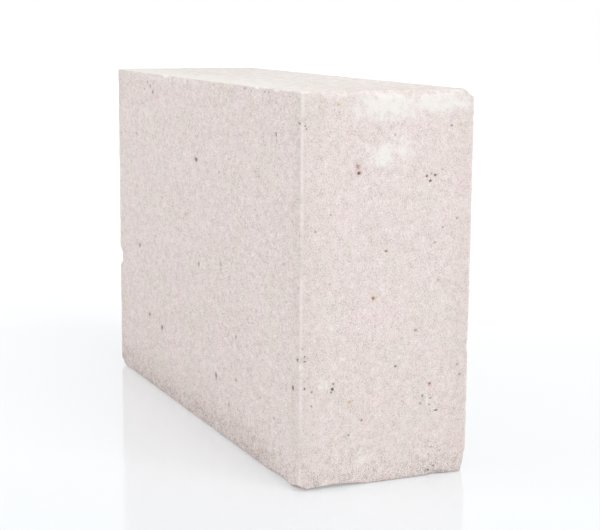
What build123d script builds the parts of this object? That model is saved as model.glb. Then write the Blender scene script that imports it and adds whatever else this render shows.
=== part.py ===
from build123d import *

import math
import os
from dataclasses import dataclass

# A solid concrete block for foundation walls, in millimetres. It stands as it was cast: length
# along X, thickness along Y, height along Z, with the origin in the middle of its base. The near
# end is at +X and the front long face is at -Y.
LENGTH = 380.0
THICKNESS = 120.0
HEIGHT = 250.0

# Rounds along the arrises: the mould's corner rounds the uprights, and the sagging of the wet mix
# on its board the base rim. The press head leaves the top rim sharper.
UPRIGHT_ROUND = 2.0
TOP_ROUND = 1.5
BASE_ROUND = 2.0

# Which of two opposite faces is meant, as the sign of the axis that it is square to.
NEAR, FAR = 1, -1
BACK, FRONT = 1, -1
TOP, BASE = 1, -1

# How flat a broken corner is: below 1 the break is a deep scoop, and a large value makes it a plane.
BREAK_FLATNESS = 2.0
SCOOP_FLATNESS = 0.5


@dataclass(frozen=True)
class CornerBreak:
    """A corner knocked off in handling.

    Attributes:
        corner: The sides that meet at the corner, for X, Y and Z.
        reach: How far the break runs along the three arrises from the corner.
        flatness: How flat the broken face is.
    """

    corner: tuple
    reach: tuple
    flatness: float = BREAK_FLATNESS


@dataclass(frozen=True)
class Spall:
    """A flake lost from an arris.

    Attributes:
        along: The axis that the arris runs along.
        sides: The sides of the two faces that meet at the arris, in axis order.
        middle: Where the middle of the flake lies along the arris.
        half_length: Half the length of arris that is lost.
        reach: How far in the flake runs on each side of the arris, in axis order.
    """

    along: Axis
    sides: tuple
    middle: float
    half_length: float
    reach: tuple


CORNER_BREAKS = (
    CornerBreak(corner=(NEAR, FRONT, BASE), reach=(16.0, 6.5, 5.0)),
    CornerBreak(corner=(NEAR, BACK, BASE), reach=(6.0, 5.0, 20.0)),
    CornerBreak(corner=(NEAR, BACK, TOP), reach=(13.0, 6.5, 4.5), flatness=SCOOP_FLATNESS),
    CornerBreak(corner=(FAR, FRONT, BASE), reach=(11.0, 7.0, 6.0)),
)

# Flakes off the upright arrises, each at its height above the base or below the top.
UPRIGHT_SPALLS = (
    Spall(along=Axis.Z, sides=(FAR, FRONT), middle=93.5, half_length=7.5, reach=(8.0, 4.0)),
    Spall(along=Axis.Z, sides=(NEAR, BACK), middle=84.0, half_length=6.0, reach=(3.0, 2.6)),
    Spall(along=Axis.Z, sides=(NEAR, BACK), middle=101.0, half_length=3.5, reach=(2.0, 1.8)),
    Spall(along=Axis.Z, sides=(NEAR, FRONT), middle=81.0, half_length=8.0, reach=(2.0, 3.5)),
    Spall(along=Axis.Z, sides=(NEAR, FRONT), middle=HEIGHT - 19.0, half_length=4.5, reach=(2.0, 3.0)),
)

# Flakes off the front rims, each at its distance from the end that is nearer to it.
FRONT_RIM_SPALLS = (
    Spall(along=Axis.X, sides=(FRONT, TOP), middle=LENGTH / 2 - 39.0, half_length=7.0, reach=(3.0, 3.0)),
    Spall(along=Axis.X, sides=(FRONT, TOP), middle=LENGTH / 2 - 73.0, half_length=6.0, reach=(3.0, 2.6)),
    Spall(along=Axis.X, sides=(FRONT, TOP), middle=124.0 - LENGTH / 2, half_length=11.0, reach=(4.0, 3.0)),
    Spall(along=Axis.X, sides=(FRONT, BASE), middle=LENGTH / 2 - 34.0, half_length=24.0, reach=(2.6, 3.0)),
)

# Wear along the rims of the near end: the top rim is rubbed off along most of its length, and the
# base rim is ground down beside the front corner, which the block is tipped and walked on.
END_RIM_SPALLS = (
    Spall(along=Axis.Y, sides=(NEAR, TOP), middle=12.0, half_length=46.0, reach=(5.0, 4.0)),
    Spall(along=Axis.Y, sides=(NEAR, TOP), middle=30.0 - THICKNESS / 2, half_length=11.0, reach=(3.4, 3.0)),
    Spall(along=Axis.Y, sides=(NEAR, BASE), middle=THICKNESS / 2 - 23.0, half_length=8.0, reach=(2.8, 3.4)),
    Spall(along=Axis.Y, sides=(NEAR, BASE), middle=22.0 - THICKNESS / 2, half_length=30.0, reach=(7.0, 2.4)),
)


def side_position(axis_number: int, side: int) -> float:
    """Return where the face on one side of an axis lies."""
    if axis_number == 2:
        return HEIGHT if side == TOP else 0.0
    half = (LENGTH, THICKNESS)[axis_number] / 2
    return half * side


def rounded_block() -> Solid:
    """Return the block as the press leaves it, with its twelve arrises rounded.

    The uprights come first, so that each rim is one smooth loop when it is rounded.
    """
    block = Box(LENGTH, THICKNESS, HEIGHT, align=(Align.CENTER, Align.CENTER, Align.MIN))
    block = fillet(block.edges().filter_by(Axis.Z), UPRIGHT_ROUND)
    block = fillet(block.edges().group_by(Axis.Z)[-1], TOP_ROUND)
    block = fillet(block.edges().group_by(Axis.Z)[0], BASE_ROUND)
    return block


def corner_ball(chip: CornerBreak) -> Part:
    """Return the ball that a broken corner is scooped out with.

    Its surface passes through the point at each reach. The corner's power, which is how far the
    corner lies inside the ball as radius squared less distance squared, settles the last unknown.
    """
    power = chip.flatness * max(chip.reach) ** 2
    inward = [(reach**2 - power) / (2 * reach) for reach in chip.reach]
    radius = math.sqrt(sum(distance**2 for distance in inward) + power)
    centre = [
        side_position(number, side) - side * inward[number]
        for number, side in enumerate(chip.corner)
    ]
    return Pos(*centre) * Sphere(radius)


def spall_ball(spall: Spall) -> Part:
    """Return the ball that a flake is scooped out of an arris with.

    Its surface crosses the arris at both ends of the flake and each face at the reach there.
    """
    along = (Axis.X, Axis.Y, Axis.Z).index(spall.along)
    across = [number for number in range(3) if number != along]
    inward = [(reach**2 - spall.half_length**2) / (2 * reach) for reach in spall.reach]
    radius = math.sqrt(sum(distance**2 for distance in inward) + spall.half_length**2)
    centre = [0.0, 0.0, 0.0]
    centre[along] = spall.middle
    for number, side, distance in zip(across, spall.sides, inward):
        centre[number] = side_position(number, side) - side * distance
    return Pos(*centre) * Sphere(radius)


def worn_block() -> Part:
    """Return the block with its broken corners and spalled arrises."""
    block = rounded_block()
    for chip in CORNER_BREAKS:
        block = block - corner_ball(chip)
    for spall in UPRIGHT_SPALLS + FRONT_RIM_SPALLS + END_RIM_SPALLS:
        block = block - spall_ball(spall)
    return block


os.makedirs("parts", exist_ok=True)
foundation_block = worn_block()
foundation_block.label = "foundation_block"
export_step(foundation_block, "parts/foundation_block.step")
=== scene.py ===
"""Dress a solid concrete foundation block: its worn skin, its finish, and a plain white studio.

The block is one casting of dry concrete, pressed and vibrated in a steel mould. It has sandy
faces, a few open pores, crumbled arrises and a pale film of cement near the top rim.
"""

import logging
import math
import random
from dataclasses import dataclass, field
from enum import Enum
from functools import cached_property, partial
from typing import Any, Callable, Mapping, Optional, Sequence, Union

import bmesh
import bpy
import numpy as np
from mathutils import Matrix, Vector


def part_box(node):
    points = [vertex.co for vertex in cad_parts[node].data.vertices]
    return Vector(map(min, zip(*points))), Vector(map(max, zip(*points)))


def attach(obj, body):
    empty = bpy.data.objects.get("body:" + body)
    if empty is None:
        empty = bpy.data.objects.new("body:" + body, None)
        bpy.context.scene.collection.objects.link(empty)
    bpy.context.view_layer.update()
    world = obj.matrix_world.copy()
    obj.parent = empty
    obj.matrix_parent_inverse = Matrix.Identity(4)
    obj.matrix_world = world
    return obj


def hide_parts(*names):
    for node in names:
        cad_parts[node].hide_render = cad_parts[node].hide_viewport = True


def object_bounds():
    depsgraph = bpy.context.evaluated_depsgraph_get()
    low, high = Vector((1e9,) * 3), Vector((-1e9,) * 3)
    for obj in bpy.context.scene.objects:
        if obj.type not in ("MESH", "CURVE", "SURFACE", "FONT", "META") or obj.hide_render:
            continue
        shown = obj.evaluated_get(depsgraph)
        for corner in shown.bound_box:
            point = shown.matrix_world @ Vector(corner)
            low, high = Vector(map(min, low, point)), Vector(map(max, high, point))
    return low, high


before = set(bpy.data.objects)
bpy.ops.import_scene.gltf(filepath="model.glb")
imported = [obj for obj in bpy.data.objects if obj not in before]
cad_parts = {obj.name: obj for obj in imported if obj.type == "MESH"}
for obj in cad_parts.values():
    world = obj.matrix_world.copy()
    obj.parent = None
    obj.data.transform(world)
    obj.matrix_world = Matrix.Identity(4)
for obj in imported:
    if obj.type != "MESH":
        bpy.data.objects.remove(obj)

CAD_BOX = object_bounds()
MM = 0.001
TOLERANCE = 0.1 * MM

# The photograph's width in pixels, and the sensor's in millimetres.
IMAGE_WIDTH = 600
SENSOR_WIDTH = 36.0

log = logging.getLogger("foundation_block")

Key = Union[int, str]
Node = bpy.types.Node
Socket = bpy.types.NodeSocket
Adder = Callable[..., Node]

WHITE = (1.0, 1.0, 1.0, 1.0)

# The kinds of node that the trees use most.
ATTRIBUTE = "ShaderNodeAttribute"
MAP_RANGE = "ShaderNodeMapRange"
MATH = "ShaderNodeMath"
MIX = "ShaderNodeMix"
NOISE = "ShaderNodeTexNoise"
VECTOR_MATH = "ShaderNodeVectorMath"


def linear_rgb(code: str) -> tuple[float, float, float]:
    """Turn an sRGB hex colour into linear values.

    Args:
        code: The colour, such as "#E5DBD9".

    Returns:
        Red, green and blue from 0 to 1.
    """
    values = (int(code[place : place + 2], 16) / 255 for place in (1, 3, 5))
    red, green, blue = (v / 12.92 if v <= 0.04045 else ((v + 0.055) / 1.055) ** 2.4 for v in values)
    return red, green, blue


def linear_rgba(code: str) -> tuple[float, float, float, float]:
    """Turn an sRGB hex colour into linear values with a full alpha."""
    return (*linear_rgb(code), 1.0)


def per_size(millimetres: float) -> float:
    """Return the texture scale at which one cell of a pattern has this size."""
    return 1.0 / (millimetres * MM)


def add_node(
    tree: bpy.types.NodeTree, kind: str, inputs: Optional[Mapping[Key, Any]] = None, **settings: Any
) -> Node:
    """Add a node with its settings, its values and its links.

    Args:
        tree: The tree that the node goes into.
        kind: The node's type.
        inputs: For each input, by name or number, its value, the socket that feeds it, or the
            node whose first output feeds it.
        settings: The node's own options.

    Returns:
        The node.
    """
    node = tree.nodes.new(kind)
    for name, value in settings.items():
        setattr(node, name, value)
    for key, value in (inputs or {}).items():
        if isinstance(value, Node):
            value = value.outputs[0]
        if isinstance(value, Socket):
            tree.links.new(value, node.inputs[key])
        else:
            node.inputs[key].default_value = value
    return node


def empty_material(name: str) -> bpy.types.Material:
    """Make a material with no nodes.

    Args:
        name: The material's name.

    Returns:
        The material.
    """
    material = bpy.data.materials.new(name)
    material.use_nodes = True
    material.node_tree.nodes.clear()
    return material


class Face(Enum):
    """The upright faces, each as the axis that it is square to and its side there: 0 is the low one."""

    NEAR_END = (0, 1)
    FAR_END = (0, 0)
    FRONT = (1, 0)
    BACK = (1, 1)


class Stain(Enum):
    """What a pore is stained with, as the colour at its rim."""

    NONE = "#C9BFBA"
    RUST = "#CFA79C"
    OCHRE = "#DCC8A6"
    RED = "#D9B3AF"


class Hollow(Enum):
    """How deep a pore is, in millimetres. A deeper one gets more painted shade inside."""

    FAINT = 0.5
    SHALLOW = 0.8
    OPEN = 1.2
    DEEP = 1.7
    DEEPEST = 2.2


@dataclass(frozen=True)
class Pore:
    """An open pore in a face.

    Attributes:
        across: Its place along the face, in millimetres from the block's middle.
        height: Its height above the base, in millimetres.
        width: Its width, in millimetres.
        hollow: How deep it is.
        tall: Its height over its width.
        stain: What its rim is stained with.
    """

    across: float
    height: float
    width: float
    hollow: Hollow
    tall: float = 1.0
    stain: Stain = Stain.NONE


@dataclass(frozen=True)
class Laitance:
    """A thin pale film of cement that bled out on a face.

    Attributes:
        across: The place of its middle along the face, in millimetres from the block's middle.
        height: The height of its middle above the base, in millimetres.
        half_width: Half its width, in millimetres.
        half_height: Half its height, in millimetres.
        strength: How well it covers, from 0 to 1.
    """

    across: float
    height: float
    half_width: float
    half_height: float
    strength: float = 1.0


# The open pores on the two upright faces that the photograph shows, each placed one by one.
PORES: Mapping[Face, Sequence[Pore]] = {
    Face.NEAR_END: (
        Pore(-21.0, 199.5, 2.2, Hollow.DEEP, 1.1, Stain.RUST),
        Pore(-22.0, 203.5, 2.2, Hollow.SHALLOW, 1.2, Stain.RUST),
        Pore(-1.5, 150.0, 1.6, Hollow.OPEN, 0.9, Stain.OCHRE),
        Pore(-10.0, 120.5, 2.3, Hollow.OPEN, 1.0, Stain.OCHRE),
        Pore(-35.5, 242.0, 1.8, Hollow.FAINT, 1.0, Stain.OCHRE),
        Pore(32.5, 196.5, 2.0, Hollow.DEEP, 0.7),
        Pore(26.5, 196.0, 1.5, Hollow.OPEN),
        Pore(29.5, 197.5, 1.4, Hollow.OPEN, 0.8),
        Pore(37.5, 200.0, 1.4, Hollow.SHALLOW, 0.8),
        Pore(29.0, 193.0, 1.6, Hollow.DEEP),
        Pore(43.5, 227.5, 1.7, Hollow.OPEN),
        Pore(50.0, 228.0, 1.2, Hollow.FAINT, 1.0, Stain.OCHRE),
        Pore(3.5, 222.5, 1.4, Hollow.SHALLOW),
        Pore(49.0, 168.5, 1.5, Hollow.OPEN),
        Pore(38.5, 163.0, 1.4, Hollow.SHALLOW),
        Pore(33.0, 153.5, 1.5, Hollow.SHALLOW, 1.2),
        Pore(36.0, 129.0, 1.9, Hollow.FAINT),
        Pore(-40.0, 174.5, 1.5, Hollow.FAINT),
        Pore(-50.5, 164.5, 1.4, Hollow.SHALLOW),
        Pore(-40.5, 131.5, 1.4, Hollow.FAINT),
        Pore(20.5, 97.5, 2.4, Hollow.SHALLOW),
        Pore(6.5, 75.5, 1.6, Hollow.OPEN),
        Pore(51.5, 72.5, 2.0, Hollow.SHALLOW),
        Pore(53.5, 66.0, 1.8, Hollow.OPEN),
        Pore(-37.5, 64.5, 1.9, Hollow.DEEP, 1.3),
        Pore(-37.0, 68.0, 1.3, Hollow.OPEN, 1.2),
        Pore(-38.5, 62.5, 1.2, Hollow.OPEN),
        Pore(31.5, 61.5, 2.0, Hollow.OPEN, 1.0, Stain.RED),
        Pore(32.5, 52.0, 1.5, Hollow.SHALLOW),
        Pore(31.5, 47.5, 1.3, Hollow.SHALLOW, 1.2),
        Pore(26.5, 54.0, 1.7, Hollow.SHALLOW),
        Pore(25.0, 49.0, 1.4, Hollow.SHALLOW, 1.2),
        Pore(36.5, 43.5, 3.0, Hollow.DEEP, 0.35),
        Pore(-17.0, 42.5, 1.4, Hollow.SHALLOW, 1.0, Stain.RED),
        Pore(-26.0, 33.5, 1.5, Hollow.SHALLOW, 0.8),
        Pore(-26.0, 55.0, 2.2, Hollow.FAINT, 1.0, Stain.OCHRE),
        Pore(31.5, 3.5, 2.0, Hollow.DEEP),
        Pore(35.5, 6.0, 1.8, Hollow.DEEP),
        Pore(-57.0, 66.5, 1.5, Hollow.OPEN),
        Pore(-52.0, 64.0, 1.5, Hollow.SHALLOW),
        Pore(-52.0, 55.0, 1.4, Hollow.SHALLOW),
        Pore(-57.0, 87.0, 1.3, Hollow.OPEN),
        Pore(-57.0, 84.0, 1.4, Hollow.OPEN, 0.7),
        Pore(-58.5, 92.0, 1.2, Hollow.SHALLOW, 0.8),
        Pore(-58.0, 229.5, 1.2, Hollow.OPEN, 0.8),
        Pore(-57.0, 227.5, 1.1, Hollow.SHALLOW, 0.8),
        Pore(29.0, 20.0, 1.2, Hollow.FAINT),
        Pore(33.5, 19.0, 1.4, Hollow.SHALLOW),
        Pore(37.0, 21.5, 1.3, Hollow.FAINT),
        Pore(31.5, 14.0, 1.2, Hollow.FAINT),
        Pore(40.0, 16.0, 1.2, Hollow.SHALLOW),
    ),
    Face.FRONT: (
        Pore(1.0, 192.0, 5.5, Hollow.DEEPEST, 0.6),
        Pore(48.0, 187.5, 2.6, Hollow.OPEN, 0.7),
        Pore(122.0, 192.0, 1.8, Hollow.OPEN, 0.8),
        Pore(-22.0, 149.5, 2.4, Hollow.OPEN, 0.8),
        Pore(-135.0, 109.5, 4.2, Hollow.DEEPEST, 0.9),
        Pore(6.0, 116.5, 3.4, Hollow.OPEN, 1.2),
        Pore(51.0, 123.5, 3.4, Hollow.SHALLOW, 1.3),
        Pore(-40.5, 105.0, 2.2, Hollow.FAINT, 0.8),
        Pore(150.0, 221.5, 2.9, Hollow.DEEP, 1.1),
        Pore(151.0, 217.5, 1.5, Hollow.SHALLOW, 2.2),
        Pore(-97.5, 235.5, 3.5, Hollow.DEEP, 1.0),
        Pore(-104.0, 240.0, 3.6, Hollow.OPEN, 0.8),
        Pore(-118.0, 237.0, 2.4, Hollow.SHALLOW, 0.8),
        Pore(-110.0, 242.5, 3.0, Hollow.SHALLOW, 0.8),
        Pore(-139.0, 200.0, 2.6, Hollow.OPEN, 0.8),
        Pore(-111.0, 57.0, 4.6, Hollow.DEEPEST, 0.8),
        Pore(-80.0, 52.5, 4.0, Hollow.DEEPEST, 1.0),
        Pore(80.5, 77.5, 3.0, Hollow.OPEN, 0.9),
        Pore(41.0, 41.5, 3.8, Hollow.DEEPEST, 1.2),
        Pore(179.0, 65.0, 3.0, Hollow.DEEP, 1.2),
        Pore(66.5, 26.5, 3.0, Hollow.OPEN, 0.7),
        Pore(80.0, 47.0, 2.6, Hollow.OPEN, 0.8),
        Pore(148.0, 37.5, 2.4, Hollow.SHALLOW, 0.9),
        Pore(186.0, 84.5, 3.0, Hollow.OPEN, 0.7),
        Pore(187.0, 231.0, 2.4, Hollow.OPEN, 0.6),
        Pore(97.0, 248.0, 3.0, Hollow.SHALLOW, 0.5),
        Pore(108.0, 247.0, 2.4, Hollow.SHALLOW, 0.6),
        Pore(131.0, 247.5, 2.6, Hollow.SHALLOW, 0.5),
        Pore(138.0, 247.5, 2.8, Hollow.SHALLOW, 0.5),
        Pore(39.0, 247.5, 2.4, Hollow.OPEN, 0.6),
        Pore(-16.0, 247.5, 2.4, Hollow.SHALLOW, 0.6),
        Pore(73.0, 244.5, 2.2, Hollow.FAINT, 0.7),
    ),
}

# The films of cement on the same two faces.
FILMS: Mapping[Face, Sequence[Laitance]] = {
    Face.NEAR_END: (
        Laitance(-2.0, 241.0, 32.0, 13.0),
        Laitance(36.0, 242.5, 34.0, 10.0, 0.95),
        Laitance(-40.0, 248.5, 24.0, 4.0, 0.6),
        Laitance(-5.0, 211.0, 17.0, 12.0, 0.75),
        Laitance(8.0, 213.5, 15.0, 12.0, 0.75),
        Laitance(-44.0, 67.5, 4.5, 4.0, 0.85),
        Laitance(29.5, 53.0, 2.2, 10.0, 0.65),
        Laitance(-17.0, 16.0, 9.0, 8.0, 0.6),
        Laitance(-60.0, 81.0, 4.0, 5.0, 0.9),
        Laitance(-60.0, 242.0, 3.5, 9.0, 0.6),
        Laitance(28.5, 190.5, 1.8, 1.5, 1.0),
    ),
    Face.FRONT: (
        Laitance(-60.0, 246.5, 110.0, 3.5, 0.6),
        Laitance(-188.0, 150.0, 12.0, 110.0, 0.5),
        Laitance(-112.0, 216.0, 16.0, 9.0, 0.5),
    ),
}


@dataclass(frozen=True)
class PressedConcrete:
    """Vibration-pressed block concrete, pale grey with a pink cast from its sand.

    The dry mix is pressed, not poured, so the face is matt and open: sand grains stand in a
    thin paste with small holes between them. It scatters nearly all light, with no sheen.
    Cement gathers where the mould's walls meet, so the arrises are paler than the faces. The
    strip beside each is a little duller. Sizes are in millimetres, apart from a pinhole's, which are
    in shares of the spacing. A share is how far a colour covers the one under it, from 0 to 1.
    A range is the values of a pattern between which what it brings grows from none to full.
    """

    paste: str = "#E2D6D5"
    warm_paste: str = "#E4D5D4"
    grey_paste: str = "#DDD5CE"
    # The sand colour in the hollows between grains, which is partly painted shade.
    dark_sand: str = "#A89B95"
    pale_sand: str = "#FBF3EF"
    arris: str = "#EDE4E0"
    # The colour of the cement film. On the top it is partly painted light from above.
    laitance: str = "#EDEBE6"
    # The colour of the painted shade inside the pinholes and the open pores.
    pore: str = "#6E5B51"
    # The colour of the painted shade at the foot, near the table. The duller strip beside each upright
    # arris takes it too.
    foot: str = "#BFB2AB"
    roughness: float = 0.93
    sheen: float = 0.25
    cloud_size: float = 32.0
    cloud_range: tuple[float, float] = (0.3, 0.7)
    streak_size: float = 5.0
    streak_stretch: float = 20.0
    streak_range: tuple[float, float] = (0.35, 0.7)
    streak_share: float = 0.5
    sand_size: float = 0.7
    gravel_size: float = 3.4
    gravel_share: float = 0.3
    sand_spread: float = 0.6
    sand_relief: float = 0.4
    hollow_tone: float = 0.48
    hollow_spread: float = 0.2
    foot_hollow_spread: float = 0.08
    hollow_share: float = 0.95
    grain_tone: float = 0.53
    grain_full_tone: float = 0.7
    grain_share: float = 0.9
    arris_width: float = 2.6
    arris_range: tuple[float, float] = (0.35, 0.55)
    arris_share: float = 0.9
    strip_width: float = 20.0
    strip_share: float = 0.12
    foot_height: float = 30.0
    # How far the painted shade at the foot covers, and how much of it the near end keeps.
    foot_share: float = 0.42
    foot_end_share: float = 0.15
    foot_fade: float = 70.0
    film_grain: float = 7.0
    film_raggedness: float = 3.0
    film_range: tuple[float, float] = (1.7, 2.6)
    film_share: float = 0.88
    thinnest_film: float = 0.2
    stain_grain: float = 2.0
    pinhole_spacing: float = 6.5
    pinhole_range: tuple[float, float] = (0.5, 1.0)
    pinhole_radius: float = 0.13
    pinhole_slope: float = 0.05
    pinhole_share: float = 0.4
    name: str = "vibration_pressed_concrete"

    @cached_property
    def material(self) -> bpy.types.Material:
        """Return the material, which has no nodes at first."""
        return empty_material(self.name)

    @cached_property
    def add(self) -> Adder:
        """Return what adds a node to the material's tree."""
        return partial(add_node, self.material.node_tree)

    @cached_property
    def place(self) -> Socket:
        """Return the place of the point that is shaded."""
        return self.add("ShaderNodeTexCoord").outputs["Object"]

    def build(self) -> bpy.types.Material:
        """Build the material.

        Returns:
            The material, which reads Object coordinates and the skin's own attributes.
        """
        low, foot = self.foot_shares()
        tone = self.sand_tone()
        colour = self.speckled(self.paste_colour(foot), tone, low)
        colour = self.paler_arris(colour, foot)
        colour = self.filmed(colour)
        colour = self.stained(colour)
        pinhole = self.pinholes()
        colour = self.holed(colour, pinhole)
        relief = self.add(MATH, {0: pinhole, 1: -1.0, 2: tone}, operation="MULTIPLY_ADD")
        bump = self.add(
            "ShaderNodeBump", {"Height": relief, "Distance": self.sand_relief * MM, "Strength": 1.0}
        )
        surface = self.add(
            "ShaderNodeBsdfPrincipled",
            {
                "Base Color": colour,
                "Roughness": self.roughness,
                "IOR": 1.5,
                "Specular IOR Level": self.sheen,
                "Normal": bump.outputs["Normal"],
            },
        )
        self.add("ShaderNodeOutputMaterial", {"Surface": surface})
        return self.material

    def foot_shares(self) -> tuple[Socket, Socket]:
        """Find the foot, which is rough all round and gets painted shade near the table, less at the
        near end.

        Returns:
            How rough the point is, and how much painted shade it gets, each from 0 to 1.
        """
        parts = self.add("ShaderNodeSeparateXYZ", {0: self.place}).outputs
        low = self.add(
            MAP_RANGE,
            {"Value": parts["Z"], "From Min": self.foot_height * MM, "From Max": 0.0},
            interpolation_type="SMOOTHSTEP",
        )
        end = CAD_BOX[1].x
        fade = self.add(
            MAP_RANGE,
            {
                "Value": parts["X"],
                "From Min": end - self.foot_fade * MM,
                "From Max": end,
                "To Min": 1.0,
                "To Max": self.foot_end_share,
            },
        )
        soiled = self.add(MATH, {0: low, 1: fade}, operation="MULTIPLY")
        return low.outputs[0], soiled.outputs[0]

    def paste_colour(self, foot: Socket) -> Socket:
        """Colour the paste, with warm and grey clouds, streaks from the mould and painted shade at the
        foot.

        Args:
            foot: How much painted shade the point gets near the base.

        Returns:
            The colour.
        """
        clouds = self.add(
            NOISE,
            {"Vector": self.place, "Scale": per_size(self.cloud_size), "Detail": 3.0, "Roughness": 0.6},
        )
        low, high = self.cloud_range
        warmth = self.add(MAP_RANGE, {"Value": clouds.outputs["Fac"], "From Min": low, "From Max": high})
        warm = self.add(
            MIX,
            {0: warmth, 6: linear_rgba(self.grey_paste), 7: linear_rgba(self.warm_paste)},
            data_type="RGBA",
        )
        drawn = self.add(
            "ShaderNodeMapping", {"Vector": self.place, "Scale": (1.0, 1.0, 1.0 / self.streak_stretch)}
        )
        streaks = self.add(NOISE, {"Vector": drawn, "Scale": per_size(self.streak_size), "Detail": 2.0})
        low, high = self.streak_range
        streak_share = self.add(
            MAP_RANGE,
            {
                "Value": streaks.outputs["Fac"],
                "From Min": low,
                "From Max": high,
                "To Max": self.streak_share,
            },
        )
        paste = self.add(
            MIX, {0: streak_share, 6: warm.outputs[2], 7: linear_rgba(self.paste)}, data_type="RGBA"
        )
        # Painted shade at the foot, where the block stands on the table.
        dulled = self.add(MATH, {0: foot, 1: self.foot_share}, operation="MULTIPLY")
        return self.add(
            MIX, {0: dulled, 6: paste.outputs[2], 7: linear_rgba(self.foot)}, data_type="RGBA"
        ).outputs[2]

    def sand_tone(self) -> Socket:
        """Mix the pattern of fine sand with that of coarse grains just under the face.

        The real sand is 0.1 to 2 mm across, and only its coarse end shows at this distance. The
        box that feeds the mould runs lengthwise, which draws the pattern out along the block.

        Returns:
            The tone, which lies about 0.5: lower in hollows and higher on grains.
        """
        spread = self.add(
            "ShaderNodeMapping", {"Vector": self.place, "Scale": (self.sand_spread, 1.0, 1.0)}
        ).outputs[0]
        fine = self.add(
            NOISE, {"Vector": spread, "Scale": per_size(self.sand_size), "Detail": 2.0, "Roughness": 0.6}
        )
        coarse = self.add(
            NOISE,
            {"Vector": spread, "Scale": per_size(self.gravel_size), "Detail": 3.0, "Roughness": 0.6},
        )
        return self.add(
            MIX,
            {0: self.gravel_share, 2: fine.outputs["Fac"], 3: coarse.outputs["Fac"]},
            data_type="FLOAT",
        ).outputs[0]

    def speckled(self, paste: Socket, tone: Socket, rough: Socket) -> Socket:
        """Give the hollows a deeper sand colour, partly painted shade, and the grains a paler one; more
        so at the foot.

        Args:
            paste: The paste's colour.
            tone: The sand's tone.
            rough: How rough the point is.

        Returns:
            The colour.
        """
        spread = self.add(
            MAP_RANGE, {"Value": rough, "To Min": self.hollow_spread, "To Max": self.foot_hollow_spread}
        )
        low = self.add(MATH, {0: self.hollow_tone, 1: spread}, operation="SUBTRACT")
        # The hollows between grains take the deeper sand colour, partly as painted shade.
        hollow = self.add(
            MAP_RANGE,
            {"Value": tone, "From Min": self.hollow_tone, "From Max": low, "To Max": self.hollow_share},
        )
        darker = self.add(MIX, {0: hollow, 6: paste, 7: linear_rgba(self.dark_sand)}, data_type="RGBA")
        proud = self.add(
            MAP_RANGE,
            {
                "Value": tone,
                "From Min": self.grain_tone,
                "From Max": self.grain_full_tone,
                "To Max": self.grain_share,
            },
        )
        return self.add(
            MIX, {0: proud, 6: darker.outputs[2], 7: linear_rgba(self.pale_sand)}, data_type="RGBA"
        ).outputs[2]

    def paler_arris(self, colour: Socket, foot: Socket) -> Socket:
        """Dull a strip beside each upright arris, and whiten the arris unevenly above the foot.

        Args:
            colour: The colour so far.
            foot: How much painted shade the point gets near the base.

        Returns:
            The colour.
        """
        distance = self.add(ATTRIBUTE, attribute_name="upright")
        beside = self.add(
            MAP_RANGE,
            {
                "Value": distance.outputs["Fac"],
                "From Min": self.strip_width * MM,
                "From Max": self.arris_width * MM,
                "To Max": self.strip_share,
            },
            interpolation_type="SMOOTHSTEP",
        )
        # A duller strip beside each upright arris, in the foot's colour.
        sandier = self.add(MIX, {0: beside, 6: colour, 7: linear_rgba(self.foot)}, data_type="RGBA")
        near = self.add(
            MAP_RANGE,
            {
                "Value": distance.outputs["Fac"],
                "From Min": self.arris_width * MM,
                "From Max": 0.0,
                "To Max": self.arris_share,
            },
            interpolation_type="SMOOTHSTEP",
        )
        patchy = self.add(
            NOISE, {"Vector": self.place, "Scale": per_size(self.cloud_size), "Detail": 3.0}
        )
        low, high = self.arris_range
        kept = self.add(MAP_RANGE, {"Value": patchy.outputs["Fac"], "From Min": low, "From Max": high})
        above = self.add(MATH, {0: 1.0, 1: foot}, operation="SUBTRACT")
        share = self.add(MATH, {0: kept, 1: above}, operation="MULTIPLY")
        whitened = self.add(MATH, {0: share, 1: near}, operation="MULTIPLY")
        return self.add(
            MIX, {0: whitened, 6: sandier.outputs[2], 7: linear_rgba(self.arris)}, data_type="RGBA"
        ).outputs[2]

    def filmed(self, colour: Socket) -> Socket:
        """Lay the cement film over the colour, with its edge broken up by the sand. On the top, the film
        is partly painted light from above.

        Args:
            colour: The colour so far.

        Returns:
            The colour.
        """
        film = self.add(ATTRIBUTE, attribute_name="laitance")
        ragged = self.add(
            NOISE,
            {"Vector": self.place, "Scale": per_size(self.film_grain), "Detail": 6.0, "Roughness": 0.76},
        )
        share = self.add(
            MATH,
            {0: ragged.outputs["Fac"], 1: self.film_raggedness, 2: film.outputs["Fac"]},
            operation="MULTIPLY_ADD",
        )
        low, high = self.film_range
        cover = self.add(
            MAP_RANGE,
            {"Value": share, "From Min": low, "From Max": high, "To Max": self.film_share},
            interpolation_type="SMOOTHSTEP",
        )
        only_film = self.add(MAP_RANGE, {"Value": film.outputs["Fac"], "From Max": self.thinnest_film})
        masked = self.add(MATH, {0: cover, 1: only_film}, operation="MULTIPLY")
        return self.add(
            MIX, {0: masked, 6: colour, 7: linear_rgba(self.laitance)}, data_type="RGBA"
        ).outputs[2]

    def stained(self, colour: Socket) -> Socket:
        """Spread a stain round each open pore.

        Args:
            colour: The colour so far.

        Returns:
            The colour.
        """
        strength = self.add(ATTRIBUTE, attribute_name="stain")
        tint = self.add(ATTRIBUTE, attribute_name="stain_tint")
        mottle = self.add(
            NOISE, {"Vector": self.place, "Scale": per_size(self.stain_grain), "Detail": 2.0}
        )
        uneven = self.add(
            MATH, {0: strength.outputs["Fac"], 1: mottle.outputs["Fac"]}, operation="MULTIPLY"
        )
        return self.add(
            MIX, {0: uneven, 6: colour, 7: tint.outputs["Color"]}, data_type="RGBA"
        ).outputs[2]

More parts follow.
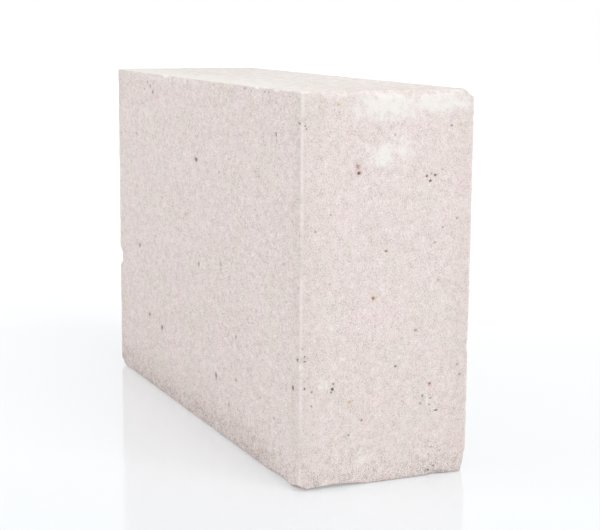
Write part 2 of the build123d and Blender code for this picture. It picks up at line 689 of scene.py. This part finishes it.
    def pinholes(self) -> Socket:
        """Scatter the small holes that air leaves between the grains.

        Returns:
            How far inside a hole the point is, from 0 to 1.
        """
        cells = self.add(
            "ShaderNodeTexVoronoi",
            {"Vector": self.place, "Scale": per_size(self.pinhole_spacing), "Randomness": 1.0},
        )
        chance = self.add("ShaderNodeSeparateXYZ", {0: cells.outputs["Color"]})
        low, high = self.pinhole_range
        radius = self.add(
            MAP_RANGE,
            {
                "Value": chance.outputs["X"],
                "From Min": low,
                "From Max": high,
                "To Max": self.pinhole_radius,
            },
        )
        inside = self.add(MATH, {0: radius, 1: cells.outputs["Distance"]}, operation="SUBTRACT")
        return self.add(
            MAP_RANGE, {"Value": inside, "From Max": self.pinhole_slope}, interpolation_type="SMOOTHSTEP"
        ).outputs[0]

    def holed(self, colour: Socket, pinhole: Socket) -> Socket:
        """Paint shade into the insides of the pinholes and the open pores.

        Args:
            colour: The colour so far.
            pinhole: How far inside a pinhole the point is.

        Returns:
            The colour.
        """
        pore = self.add(ATTRIBUTE, attribute_name="pore")
        dim_hole = self.add(MATH, {0: pinhole, 1: self.pinhole_share}, operation="MULTIPLY")
        inside = self.add(MATH, {0: dim_hole, 1: pore.outputs["Fac"]}, operation="MAXIMUM")
        return self.add(
            MIX, {0: inside, 6: colour, 7: linear_rgba(self.pore)}, data_type="RGBA"
        ).outputs[2]


@dataclass(frozen=True)
class GlassTable:
    """A clear sheet over a white one that is lit from below.

    Both of its faces reflect, so the block's mirror image is stronger than on a single polished
    face, and the glow from below leaves hardly any shadow.

    Attributes:
        sheet: The colour that lights the block.
        seen_sheet: The colour that the camera sees, before the glow is added.
        glow: How brightly the sheet glows.
        second_face: How strongly the clear sheet's upper face reflects, from 0 to 1.
        roughness: How blurred the mirror image is, from 0 to 1.
        name: The material's name.
    """

    sheet: str = "#F2F3F5"
    seen_sheet: str = "#B2B7BB"
    glow: float = 0.376
    second_face: float = 0.2
    roughness: float = 0.09
    name: str = "back_lit_white_glass"

    def build(self) -> bpy.types.Material:
        """Build the material.

        Returns:
            The material. Only the camera sees the glow, and the grey that evens out its shadows.
        """
        material = empty_material(self.name)
        add = partial(add_node, material.node_tree)
        seen = add("ShaderNodeLightPath").outputs["Is Camera Ray"]
        colour = add(
            MIX, {0: seen, 6: linear_rgba(self.sheet), 7: linear_rgba(self.seen_sheet)}, data_type="RGBA"
        )
        glow = add(MATH, {0: seen, 1: self.glow}, operation="MULTIPLY")
        sheet = add(
            "ShaderNodeBsdfPrincipled",
            {
                "Base Color": colour.outputs[2],
                "Roughness": self.roughness,
                "IOR": 1.5,
                "Coat Weight": self.second_face,
                "Coat Roughness": self.roughness,
                "Coat IOR": 1.5,
                "Emission Color": WHITE,
                "Emission Strength": glow,
            },
        )
        add("ShaderNodeOutputMaterial", {"Surface": sheet})
        return material


class SkinTree:
    """The Geometry Nodes tree that seats a plain box of quads on the cast shape and wears it."""

    SIZES: Sequence[str] = (
        "Skin Relief",
        "Relief Size",
        "Arris Nibble",
        "Nibble Size",
        "Arris Bite",
        "Bite Size",
        "Worn Width",
        "Pore Edge Size",
    )
    INPUTS: Mapping[str, Sequence[str]] = {
        "NodeSocketGeometry": ("Geometry",),
        "NodeSocketObject": ("Cast Shape", "Pores"),
        "NodeSocketVector": ("Block Middle", "Block Half", "Core Half"),
        "NodeSocketFloat": (*SIZES, "Seed"),
        "NodeSocketMaterial": ("Finish",),
    }

    # The length of the rays that seat the box, in metres.
    RAY_LENGTH = 0.05

    # The values of its pattern between which each kind of wear grows from none to full.
    NIBBLE_RANGE = (0.42, 0.75)
    BITE_RANGE = (0.58, 0.8)
    RELIEF_RANGE = (0.3, 0.7)

    # What the distance from a pore's middle is multiplied by, so that its rim is notched: at the
    # least, and how far the pattern of the notches raises it.
    NOTCH_LEAST = 0.45
    NOTCH_SPREAD = 1.1

    # Where a pore and its stain start and where they are full, in pore half widths.
    PORE_EDGE = (1.15, 0.5)
    STAIN_EDGE = (2.8, 0.7)

    def __init__(self, name: str) -> None:
        """Make the tree with its named inputs, and fill it.

        Args:
            name: The tree's name.
        """
        self.tree = bpy.data.node_groups.new(name, "GeometryNodeTree")
        self.tree.is_modifier = True
        for kind, labels in self.INPUTS.items():
            for label in labels:
                self.tree.interface.new_socket(label, in_out="INPUT", socket_type=kind)
        self.tree.interface.new_socket("Geometry", in_out="OUTPUT", socket_type="NodeSocketGeometry")
        self.add: Adder = partial(add_node, self.tree)
        self.given = self.add("NodeGroupInput").outputs
        self.place = self.add("GeometryNodeInputPosition").outputs[0]
        self.build()

    def build(self) -> None:
        """Join the steps: seat the box, wear its arrises, sink its pores, name its fields."""
        seat, inward, arris, upright = self.seat()
        pore, pore_depth, stain, tint = self.pores()
        worn = self.add(MATH, {0: self.arris_loss(arris), 1: self.skin_relief()}, operation="ADD")
        loss = self.add(MATH, {0: worn, 1: pore_depth}, operation="ADD")
        worn_place = self.add(VECTOR_MATH, {0: inward, 1: loss, 2: seat}, operation="MULTIPLY_ADD")
        geometry = self.given["Geometry"]
        # The pore field holds the painted shade inside the pores.
        for name, kind, value in (
            ("upright", "FLOAT", upright),
            ("pore", "FLOAT", pore),
            ("stain", "FLOAT", stain),
            ("stain_tint", "FLOAT_VECTOR", tint),
        ):
            stored = self.add(
                "GeometryNodeStoreNamedAttribute",
                {"Geometry": geometry, "Name": name, "Value": value},
                data_type=kind,
                domain="POINT",
            )
            geometry = stored.outputs[0]
        moved = self.add("GeometryNodeSetPosition", {"Geometry": geometry, "Position": worn_place})
        smooth = self.add("GeometryNodeSetShadeSmooth", {"Geometry": moved, "Shade Smooth": True})
        real = self.add("GeometryNodeRealizeInstances", {"Geometry": smooth})
        finished = self.add(
            "GeometryNodeSetMaterial", {"Geometry": real, "Material": self.given["Finish"]}
        )
        self.add("NodeGroupOutput", {"Geometry": finished})

    def seat(self) -> tuple[Socket, ...]:
        """Seat each point on the cast shape.

        A ray runs from each point of the box towards the nearest point of a smaller box inside
        it, so the rays fan out evenly round the arrises and never cross.

        Returns:
            The seated place, the way inward, and the distances from the nearest arris of any
            kind and from the nearest upright one.
        """
        middle, half, core_half = (self.given[n] for n in ("Block Middle", "Block Half", "Core Half"))
        centred = self.add(VECTOR_MATH, {0: self.place, 1: middle}, operation="SUBTRACT").outputs[0]
        capped = self.add(VECTOR_MATH, {0: centred, 1: core_half}, operation="MINIMUM").outputs[0]
        other_side = self.add(VECTOR_MATH, {0: core_half, "Scale": -1.0}, operation="SCALE").outputs[0]
        core = self.add(VECTOR_MATH, {0: capped, 1: other_side}, operation="MAXIMUM").outputs[0]
        towards_core = self.add(VECTOR_MATH, {0: core, 1: centred}, operation="SUBTRACT").outputs[0]
        inward = self.add(VECTOR_MATH, {0: towards_core}, operation="NORMALIZE").outputs[0]
        shape = self.add(
            "GeometryNodeObjectInfo", {"Object": self.given["Cast Shape"]}
        ).outputs["Geometry"]
        step_back = self.add(
            VECTOR_MATH, {0: inward, 1: (-MM, -MM, -MM), 2: self.place}, operation="MULTIPLY_ADD"
        ).outputs[0]
        ray = self.add(
            "GeometryNodeRaycast",
            {
                "Target Geometry": shape,
                "Source Position": step_back,
                "Ray Direction": inward,
                "Ray Length": self.RAY_LENGTH,
            },
        ).outputs
        nearest = self.add("GeometryNodeProximity", {"Geometry": shape}).outputs["Position"]
        seat = self.add(
            "GeometryNodeSwitch",
            {"Switch": ray["Is Hit"], "False": nearest, "True": ray["Hit Position"]},
            input_type="VECTOR",
        ).outputs[0]
        return seat, inward, *self.arris_distances(centred, half)

    def arris_distances(self, centred: Socket, half: Socket) -> tuple[Socket, Socket]:
        """Find how far a point is from the nearest arris, and from the nearest upright one.

        The first is the middle one of the point's three distances from the box's pairs of faces,
        because the least is that from the face that the point lies on.

        Args:
            centred: The point's place from the block's middle.
            half: Half the block's size.

        Returns:
            The two distances.
        """
        out = self.add(VECTOR_MATH, {0: centred}, operation="ABSOLUTE").outputs[0]
        gaps = self.add(VECTOR_MATH, {0: half, 1: out}, operation="SUBTRACT")
        gap = self.add("ShaderNodeSeparateXYZ", {0: gaps}).outputs
        lesser = self.add(MATH, {0: gap[0], 1: gap[1]}, operation="MINIMUM")
        greater = self.add(MATH, {0: gap[0], 1: gap[1]}, operation="MAXIMUM")
        capped = self.add(MATH, {0: greater, 1: gap[2]}, operation="MINIMUM")
        nearest = self.add(MATH, {0: lesser, 1: capped}, operation="MAXIMUM")
        return nearest.outputs[0], greater.outputs[0]

    def pattern(self, size: str, detail: float = 3.0) -> Socket:
        """Make a random pattern that is the same on every run.

        Args:
            size: The input that says how far apart its peaks are.
            detail: How many finer layers it has.

        Returns:
            The pattern, which lies about 0.5.
        """
        scaled = self.add(VECTOR_MATH, {0: self.place, 1: self.given[size]}, operation="DIVIDE")
        return self.add(
            NOISE,
            {"Vector": scaled, "W": self.given["Seed"], "Scale": 1.0, "Detail": detail},
            noise_dimensions="4D",
        ).outputs[0]

    def arris_loss(self, arris: Socket) -> Socket:
        """Crumble the arrises: a fine nibble all along them, and bites here and there.

        Args:
            arris: The distance from the nearest arris.

        Returns:
            How deep the point is sunk.
        """
        near = self.add(
            MAP_RANGE,
            {"Value": arris, "From Min": self.given["Worn Width"], "From Max": 0.0},
            interpolation_type="SMOOTHSTEP",
        )
        total: Any = 0.0
        for kind, size, (low, high) in (
            ("Arris Nibble", "Nibble Size", self.NIBBLE_RANGE),
            ("Arris Bite", "Bite Size", self.BITE_RANGE),
        ):
            depth = self.given[kind]
            crumb = self.add(
                MAP_RANGE,
                {"Value": self.pattern(size), "From Min": low, "From Max": high, "To Max": depth},
            )
            total = self.add(MATH, {0: crumb, 1: total}, operation="ADD")
        return self.add(MATH, {0: total, 1: near}, operation="MULTIPLY").outputs[0]

    def skin_relief(self) -> Socket:
        """Hollow the faces slightly all over, as the press leaves them.

        Returns:
            How deep the point is sunk.
        """
        low, high = self.RELIEF_RANGE
        return self.add(
            MAP_RANGE,
            {
                "Value": self.pattern("Relief Size"),
                "From Min": low,
                "From Max": high,
                "To Max": self.given["Skin Relief"],
            },
        ).outputs[0]

    def pores(self) -> tuple[Socket, ...]:
        """Sink the named pores.

        Returns:
            How much painted shade a point gets inside a pore, its depth, its stain's strength and its
            tint.
        """
        points = self.add("GeometryNodeObjectInfo", {"Object": self.given["Pores"]}).outputs["Geometry"]
        index = self.add(
            "GeometryNodeSampleNearest",
            {"Geometry": points, "Sample Position": self.place},
            domain="POINT",
        ).outputs[0]
        sampled = {}
        for name, kind in (
            ("position", "FLOAT_VECTOR"),
            ("reach", "FLOAT_VECTOR"),
            ("depth", "FLOAT"),
            ("dark", "FLOAT"),
            ("stain", "FLOAT"),
            ("tint", "FLOAT_VECTOR"),
        ):
            held = self.add("GeometryNodeInputNamedAttribute", {"Name": name}, data_type=kind)
            sampled[name] = self.add(
                "GeometryNodeSampleIndex",
                {"Geometry": points, "Value": held, "Index": index},
                data_type=kind,
                domain="POINT",
            ).outputs[0]
        offset = self.add(VECTOR_MATH, {0: self.place, 1: sampled["position"]}, operation="SUBTRACT")
        share = self.add(VECTOR_MATH, {0: offset, 1: sampled["reach"]}, operation="DIVIDE")
        length = self.add(VECTOR_MATH, {0: share}, operation="LENGTH")
        notches = self.pattern("Pore Edge Size", 2.0)
        ragged = self.add(
            MATH, {0: notches, 1: self.NOTCH_SPREAD, 2: self.NOTCH_LEAST}, operation="MULTIPLY_ADD"
        )
        ratio = self.add(MATH, {0: length.outputs["Value"], 1: ragged}, operation="MULTIPLY")
        inside, halo = (
            self.add(
                MAP_RANGE,
                {"Value": ratio, "From Min": start, "From Max": full},
                interpolation_type="SMOOTHSTEP",
            )
            for start, full in (self.PORE_EDGE, self.STAIN_EDGE)
        )
        fields = [
            self.add(MATH, {0: node, 1: sampled[name]}, operation="MULTIPLY").outputs[0]
            for node, name in ((inside, "dark"), (inside, "depth"), (halo, "stain"))
        ]
        return (*fields, sampled["tint"])


@dataclass
class CastBlock:
    """The block's skin: a box of quads, finer near the arrises and the pores, and then worn.

    Attributes:
        node: The CAD node that it stands for.
        spacing: The width of a quad in the middle of a face, in millimetres.
        halvings: Where the quads are halved, once for each item: how far from an arris, in
            millimetres, how far from a pore's middle, in pore half widths, and what is added to
            that, in millimetres.
        ray_inset: How far inside the faces the seating rays meet, in millimetres.
        skin_relief: How deep the faces are hollowed, in millimetres.
        relief_size: How far apart those hollows are, in millimetres.
        arris_nibble: How deep the fine wear of the arrises is, in millimetres.
        nibble_size: How far apart its nibbles are, in millimetres.
        arris_bite: How deep the few larger bites are, in millimetres.
        bite_size: How far apart they are, in millimetres.
        worn_width: How far from an arris the wear reaches, in millimetres.
        pore_edge_size: The size of the notches in a pore's rim, in millimetres.
        dark_per_depth: How much painted shade a pore gets inside for each millimetre that it is deep.
        stains: How strongly the rim is coloured, without a stain and with one, from 0 to 1.
        seed: What sets the random wear.
        hidden_seed: What sets the places of the pores on the hidden faces.
        hidden_groups: How many groups of pores each hidden face has.
        group_sizes: How many pores a group may have, each as likely as the next.
        group_spread: How far the pores of a group stray from its middle, in millimetres.
        face_margin: How far in from the arrises those pores stay, in millimetres.
        hidden_widths: Their least, greatest and likeliest width, in millimetres.
        hidden_talls: The least and the greatest height over width that they have.
        hidden_stains: What their rims are stained with, each as likely as the next.
        film_reach: Where a film has thinned out to nothing, in half widths of the film.
        top_film: How well a film covers the top, from 0 to 1. It is partly a real film of cement and
            partly painted light from above.
        rubbed_film: How well it covers the top at the near end, where it is rubbed off.
        rubbed_length: How far from the near end it is rubbed, in millimetres.
        rim_film: How much better it covers the top beside the front rim.
        rim_width: How wide that strip is, in millimetres.
        finish: The concrete.
    """

    node: str = "foundation_block"
    spacing: float = 2.9
    halvings: Sequence[tuple[float, float, float]] = ((6.5, 1.6, 2.4), (3.0, 1.5, 1.0), (0.0, 1.4, 0.4))
    ray_inset: float = 25.0
    skin_relief: float = 0.35
    relief_size: float = 13.0
    arris_nibble: float = 0.5
    nibble_size: float = 2.6
    arris_bite: float = 1.5
    bite_size: float = 9.0
    worn_width: float = 4.0
    pore_edge_size: float = 1.6
    dark_per_depth: float = 0.42
    stains: tuple[float, float] = (0.3, 0.9)
    seed: float = 4.0
    hidden_seed: int = 7
    hidden_groups: Mapping[Face, int] = field(default_factory=lambda: {Face.BACK: 14, Face.FAR_END: 6})
    group_sizes: Sequence[int] = (1, 1, 2, 4)
    group_spread: float = 6.0
    face_margin: float = 7.0
    hidden_widths: tuple[float, float, float] = (1.2, 4.0, 1.6)
    hidden_talls: tuple[float, float] = (0.7, 1.2)
    hidden_stains: Sequence[Stain] = (Stain.NONE, Stain.NONE, Stain.NONE, Stain.OCHRE)
    film_reach: float = 1.25
    top_film: float = 0.75
    rubbed_film: float = 0.45
    rubbed_length: float = 110.0
    rim_film: float = 0.35
    rim_width: float = 36.0
    finish: PressedConcrete = field(default_factory=PressedConcrete)

    def __post_init__(self) -> None:
        """Read the block's size from its CAD box, and add the pores of its hidden faces."""
        self.low, self.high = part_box(self.node)
        self.size = self.high - self.low
        shown = [(face, pore) for face, pores in PORES.items() for pore in pores]
        self.pores = shown + self.hidden_pores()

    def hidden_pores(self) -> list[tuple[Face, Pore]]:
        """Scatter pores over the upright faces that the photograph doesn't show.

        Air gathers in the mix as it is fed, so the pores lie in groups of one to four.

        Returns:
            Each pore with its face.
        """
        draw = random.Random(self.hidden_seed)
        pores = []
        for face, groups in self.hidden_groups.items():
            along = 1 - face.value[0]
            reach = self.size[along] / 2 / MM - self.face_margin
            top = self.size.z / MM - self.face_margin
            for _ in range(groups):
                middle = draw.uniform(-reach, reach)
                level = draw.uniform(self.face_margin, top)
                for _ in range(draw.choice(self.group_sizes)):
                    across = middle + draw.gauss(0.0, self.group_spread)
                    height = level + draw.gauss(0.0, self.group_spread)
                    pore = Pore(
                        across=min(max(across, -reach), reach),
                        height=min(max(height, self.face_margin), top),
                        width=draw.triangular(*self.hidden_widths),
                        hollow=draw.choice(tuple(Hollow)),
                        tall=draw.uniform(*self.hidden_talls),
                        stain=draw.choice(self.hidden_stains),
                    )
                    pores.append((face, pore))
        return pores

    def on_face(self, face: Face, mark: Union[Pore, Laitance]) -> Vector:
        """Find where the middle of a pore or a film lies.

        Args:
            face: The face that it lies in.
            mark: The pore or film.

        Returns:
            The place, in metres.
        """
        axis, side = face.value
        place = Vector((mark.across, mark.across, mark.height)) * MM
        place[axis] = (self.low, self.high)[side][axis]
        return place

    def box_mesh(self) -> bmesh.types.BMesh:
        """Lay a lattice of quads over the six faces of the block's box.

        Returns:
            A closed shell whose quads share their corners along every arris.
        """
        counts = [max(2, round(side / (self.spacing * MM))) for side in self.size]
        mesh = bmesh.new()
        corners: dict[tuple[int, ...], bmesh.types.BMVert] = {}

        def corner(step: Sequence[int]) -> bmesh.types.BMVert:
            """Find the corner at a step of the lattice, or make it.

            Args:
                step: How many steps it lies along each axis.

            Returns:
                The corner, which all quads round it share.
            """
            key = tuple(step)
            if key not in corners:
                spot = [self.low[a] + self.size[a] * key[a] / counts[a] for a in range(3)]
                corners[key] = mesh.verts.new(spot)
            return corners[key]

        for axis in range(3):
            first, second = (axis + 1) % 3, (axis + 2) % 3
            for side in (0, counts[axis]):
                for i in range(counts[first]):
                    for j in range(counts[second]):
                        ring = []
                        for di, dj in ((0, 0), (1, 0), (1, 1), (0, 1)):
                            step = [0, 0, 0]
                            step[axis], step[first], step[second] = side, i + di, j + dj
                            ring.append(corner(step))
                        mesh.faces.new(ring if side else ring[::-1])
        return mesh

    def refine(self, mesh: bmesh.types.BMesh, band: float, pore_reach: float, margin: float) -> None:
        """Halve the quads near the arrises and the pores.

        Args:
            mesh: The mesh to refine.
            band: How far from an arris, in millimetres.
            pore_reach: How far from a pore's middle, in pore half widths.
            margin: What is added to that, in millimetres.
        """
        mesh.faces.ensure_lookup_table()
        centres = np.array([quad.calc_center_median() for quad in mesh.faces])
        gaps = np.sort(np.minimum(centres - np.array(self.low), np.array(self.high) - centres), axis=1)
        chosen = gaps[:, 1] < band * MM
        for face, pore in self.pores:
            spot = np.array(self.on_face(face, pore))
            half = max(pore.width, pore.width * pore.tall) / 2
            reach = (half * pore_reach + margin) * MM
            chosen |= np.linalg.norm(centres - spot, axis=1) < reach
        edges = {edge for quad, pick in zip(mesh.faces, chosen) if pick for edge in quad.edges}
        bmesh.ops.subdivide_edges(
            mesh, edges=list(edges), cuts=1, use_grid_fill=True, use_single_edge=True
        )

    def add_films(self, mesh: bpy.types.Mesh) -> None:
        """Store how thick the cement film is at each point, from 0 to 1.

        Args:
            mesh: The mesh that gets the attribute.
        """
        places = np.empty(len(mesh.vertices) * 3)
        mesh.vertices.foreach_get("co", places)
        places = places.reshape(-1, 3)
        film = np.zeros(len(places))
        for face, patches in FILMS.items():
            for patch in patches:
                spot = np.array(self.on_face(face, patch))
                reach = np.array((patch.half_width, patch.half_width, patch.half_height)) * MM
                ratio = np.linalg.norm((places - spot) / reach, axis=1)
                film = np.maximum(film, patch.strength * np.clip(self.film_reach - ratio, 0.0, 1.0))
        # The whole top is paler: partly a real film of cement, partly painted light from above.
        on_top = places[:, 2] > self.high.z - TOLERANCE
        rubbed = np.clip(1.0 - (self.high.x - places[:, 0]) / (self.rubbed_length * MM), 0.0, 1.0)
        top_film = self.top_film + (self.rubbed_film - self.top_film) * rubbed
        beside_rim = np.clip(1.0 - (places[:, 1] - self.low.y) / (self.rim_width * MM), 0.0, 1.0)
        top_film = top_film + self.rim_film * beside_rim
        film = np.maximum(film, top_film * on_top)
        mesh.attributes.new("laitance", "FLOAT", "POINT").data.foreach_set("value", film)

    def pore_points(self) -> bpy.types.Object:
        """Set out the pores as loose points that carry their sizes and their stain.

        Returns:
            The object that holds them, which only the skin's tree reads.
        """
        mesh = bpy.data.meshes.new("pore_points")
        mesh.from_pydata([self.on_face(face, pore) for face, pore in self.pores], [], [])
        pores = [pore for _, pore in self.pores]
        half = [pore.width / 2 * MM for pore in pores]
        vectors = {
            "reach": [(size, size, size * pore.tall) for size, pore in zip(half, pores)],
            "tint": [linear_rgb(pore.stain.value) for pore in pores],
        }
        # A pore's painted shade grows with its depth.
        numbers = {
            "depth": [pore.hollow.value * MM for pore in pores],
            "dark": [self.dark_per_depth * pore.hollow.value for pore in pores],
            "stain": [self.stains[pore.stain is not Stain.NONE] for pore in pores],
        }
        for name, values in vectors.items():
            held = mesh.attributes.new(name, "FLOAT_VECTOR", "POINT")
            held.data.foreach_set("vector", np.array(values).ravel())
        for name, values in numbers.items():
            mesh.attributes.new(name, "FLOAT", "POINT").data.foreach_set("value", values)
        points = bpy.data.objects.new("pore_points", mesh)
        bpy.context.scene.collection.objects.link(points)
        return points

    def build(self) -> bpy.types.Object:
        """Build the worn block as one plain mesh.

        Returns:
            The piece, at the origin.
        """
        shell = self.box_mesh()
        for halving in self.halvings:
            self.refine(shell, *halving)
        mesh = bpy.data.meshes.new("block_shell")
        shell.to_mesh(mesh)
        shell.free()
        self.add_films(mesh)
        block = bpy.data.objects.new("concrete_block", mesh)
        bpy.context.scene.collection.objects.link(block)
        points = self.pore_points()
        self.wear(block, points)
        bpy.data.objects.remove(points)
        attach(block, "root")
        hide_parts(self.node)
        return block

    def wear(self, block: bpy.types.Object, points: bpy.types.Object) -> None:
        """Run the skin's tree on the block, and keep its result as a plain mesh.

        Args:
            block: The block as a box of quads.
            points: The pores.
        """
        skin = SkinTree("worn_skin")
        modifier = block.modifiers.new("worn skin", "NODES")
        modifier.node_group = skin.tree
        inset = Vector((1.0, 1.0, 1.0)) * self.ray_inset * MM
        values = {
            "Cast Shape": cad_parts[self.node],
            "Pores": points,
            "Block Middle": (self.low + self.high) / 2,
            "Block Half": self.size / 2,
            "Core Half": self.size / 2 - inset,
            "Seed": self.seed,
            "Finish": self.finish.build(),
        }
        # Each size that the tree takes is named as the field that holds it.
        for label in SkinTree.SIZES:
            values[label] = getattr(self, label.lower().replace(" ", "_")) * MM
        for item in skin.tree.interface.items_tree:
            if item.in_out == "INPUT" and item.name in values:
                modifier[item.identifier] = values[item.name]
        depsgraph = bpy.context.evaluated_depsgraph_get()
        block.data = bpy.data.meshes.new_from_object(
            block.evaluated_get(depsgraph), preserve_all_data_layers=True, depsgraph=depsgraph
        )
        block.modifiers.clear()


@dataclass
class Studio:
    """The white table, the soft lamps and the camera.

    The camera's place and lens come from fitting the block's own corners to the photograph.

    Attributes:
        table_width: The width of the table, in metres.
        azimuth: How far round the camera stands from the front, in degrees.
        elevation: How far it looks down, in degrees.
        roll: How far it is tilted sideways, in degrees.
        eye: Where it stands, in metres.
        focal_pixels: Its focal length, in pixels of the photograph.
        ambient: How brightly the room lights the block.
        key_power: The power of the lamp that lights the near end, in watts.
        fill_power: The power of the lamp that lights the front, in watts.
        key_place: Where the first lamp stands, in metres.
        fill_place: Where the second one stands, in metres.
        lamp_width: The width of each, in metres.
    """

    table_width: float = 14.0
    azimuth: float = 66.296
    elevation: float = 9.667
    roll: float = 0.396
    eye: tuple[float, float, float] = (1.00787, -0.41941, 0.29712)
    focal_pixels: float = 1485.38
    ambient: float = 0.68
    key_power: float = 38.0
    fill_power: float = 17.8
    key_place: tuple[float, float, float] = (1.9, 0.6, 2.1)
    fill_place: tuple[float, float, float] = (-0.4, -2.4, 0.85)
    lamp_width: float = 1.6

    def camera(self) -> bpy.types.Object:
        """Place the camera.

        Returns:
            The camera, which is the scene's own from here on.
        """
        data = bpy.data.cameras.new("camera")
        data.sensor_width = SENSOR_WIDTH
        data.lens = self.focal_pixels / IMAGE_WIDTH * SENSOR_WIDTH
        data.clip_start = 0.01
        data.clip_end = 100.0
        turn, rise, tilt = (math.radians(a) for a in (self.azimuth, self.elevation, self.roll))
        back = Vector(
            (math.sin(turn) * math.cos(rise), -math.cos(turn) * math.cos(rise), math.sin(rise))
        )
        level = Vector((0.0, 0.0, 1.0)).cross(back).normalized()
        up = back.cross(level)
        right = level * math.cos(tilt) + up * math.sin(tilt)
        above = up * math.cos(tilt) - level * math.sin(tilt)
        camera = bpy.data.objects.new("camera", data)
        turned = Matrix((right, above, back)).transposed().to_4x4()
        camera.matrix_world = Matrix.Translation(self.eye) @ turned
        bpy.context.scene.collection.objects.link(camera)
        bpy.context.scene.camera = camera
        return camera

    def lamp(self, name: str, eye: Sequence[float], power: float) -> bpy.types.Object:
        """Add a square soft lamp that points at the block's middle.

        Args:
            name: The lamp's name.
            eye: Where it stands, in metres.
            power: Its power in watts.

        Returns:
            The lamp.
        """
        data = bpy.data.lights.new(name, "AREA")
        data.shape = "SQUARE"
        data.size = self.lamp_width
        data.energy = power
        lamp = bpy.data.objects.new(name, data)
        lamp.location = eye
        lamp.rotation_mode = "QUATERNION"
        aim = (CAD_BOX[0] + CAD_BOX[1]) / 2
        lamp.rotation_quaternion = (Vector(eye) - aim).to_track_quat("Z", "Y")
        bpy.context.scene.collection.objects.link(lamp)
        return lamp

    def room(self) -> None:
        """Make the world: plain light on the block, and pure white wherever it is seen."""
        world = bpy.data.worlds.new("white_room")
        bpy.context.scene.world = world
        world.use_nodes = True
        world.node_tree.nodes.clear()
        add = partial(add_node, world.node_tree)
        ray = add("ShaderNodeLightPath").outputs
        seen = add(MATH, {0: ray["Is Camera Ray"], 1: ray["Is Glossy Ray"]}, operation="MAXIMUM")
        shown = add(MATH, {0: seen, 1: ray["Is Transmission Ray"]}, operation="MAXIMUM")
        light = add("ShaderNodeBackground", {"Color": WHITE, "Strength": self.ambient})
        backdrop = add("ShaderNodeBackground", {"Color": WHITE, "Strength": 1.0})
        both = add("ShaderNodeMixShader", {0: shown, 1: light, 2: backdrop})
        add("ShaderNodeOutputWorld", {"Surface": both})

    def table(self) -> bpy.types.Object:
        """Lay the table that the block stands on.

        Returns:
            The table, which isn't part of the block.
        """
        mesh = bpy.data.meshes.new("table")
        half = self.table_width / 2
        corners = [(-half, -half, 0.0), (half, -half, 0.0), (half, half, 0.0), (-half, half, 0.0)]
        mesh.from_pydata(corners, [], [(0, 1, 2, 3)])
        mesh.materials.append(GlassTable().build())
        table = bpy.data.objects.new("table", mesh)
        bpy.context.scene.collection.objects.link(table)
        return table

    def build(self) -> None:
        """Set up everything round the block."""
        self.room()
        self.table()
        self.lamp("key_softbox", self.key_place, self.key_power)
        self.lamp("fill_softbox", self.fill_place, self.fill_power)
        self.camera()
        bpy.context.scene.view_settings.view_transform = "Standard"


def main() -> None:
    """Build the block and its studio."""
    logging.basicConfig(level=logging.INFO, format="%(name)s: %(message)s")
    block = CastBlock().build()
    triangles = sum(len(face.vertices) - 2 for face in block.data.polygons)
    log.info("%s has %d triangles", block.name, triangles)
    Studio().build()


if __name__ == "__main__":
    main()
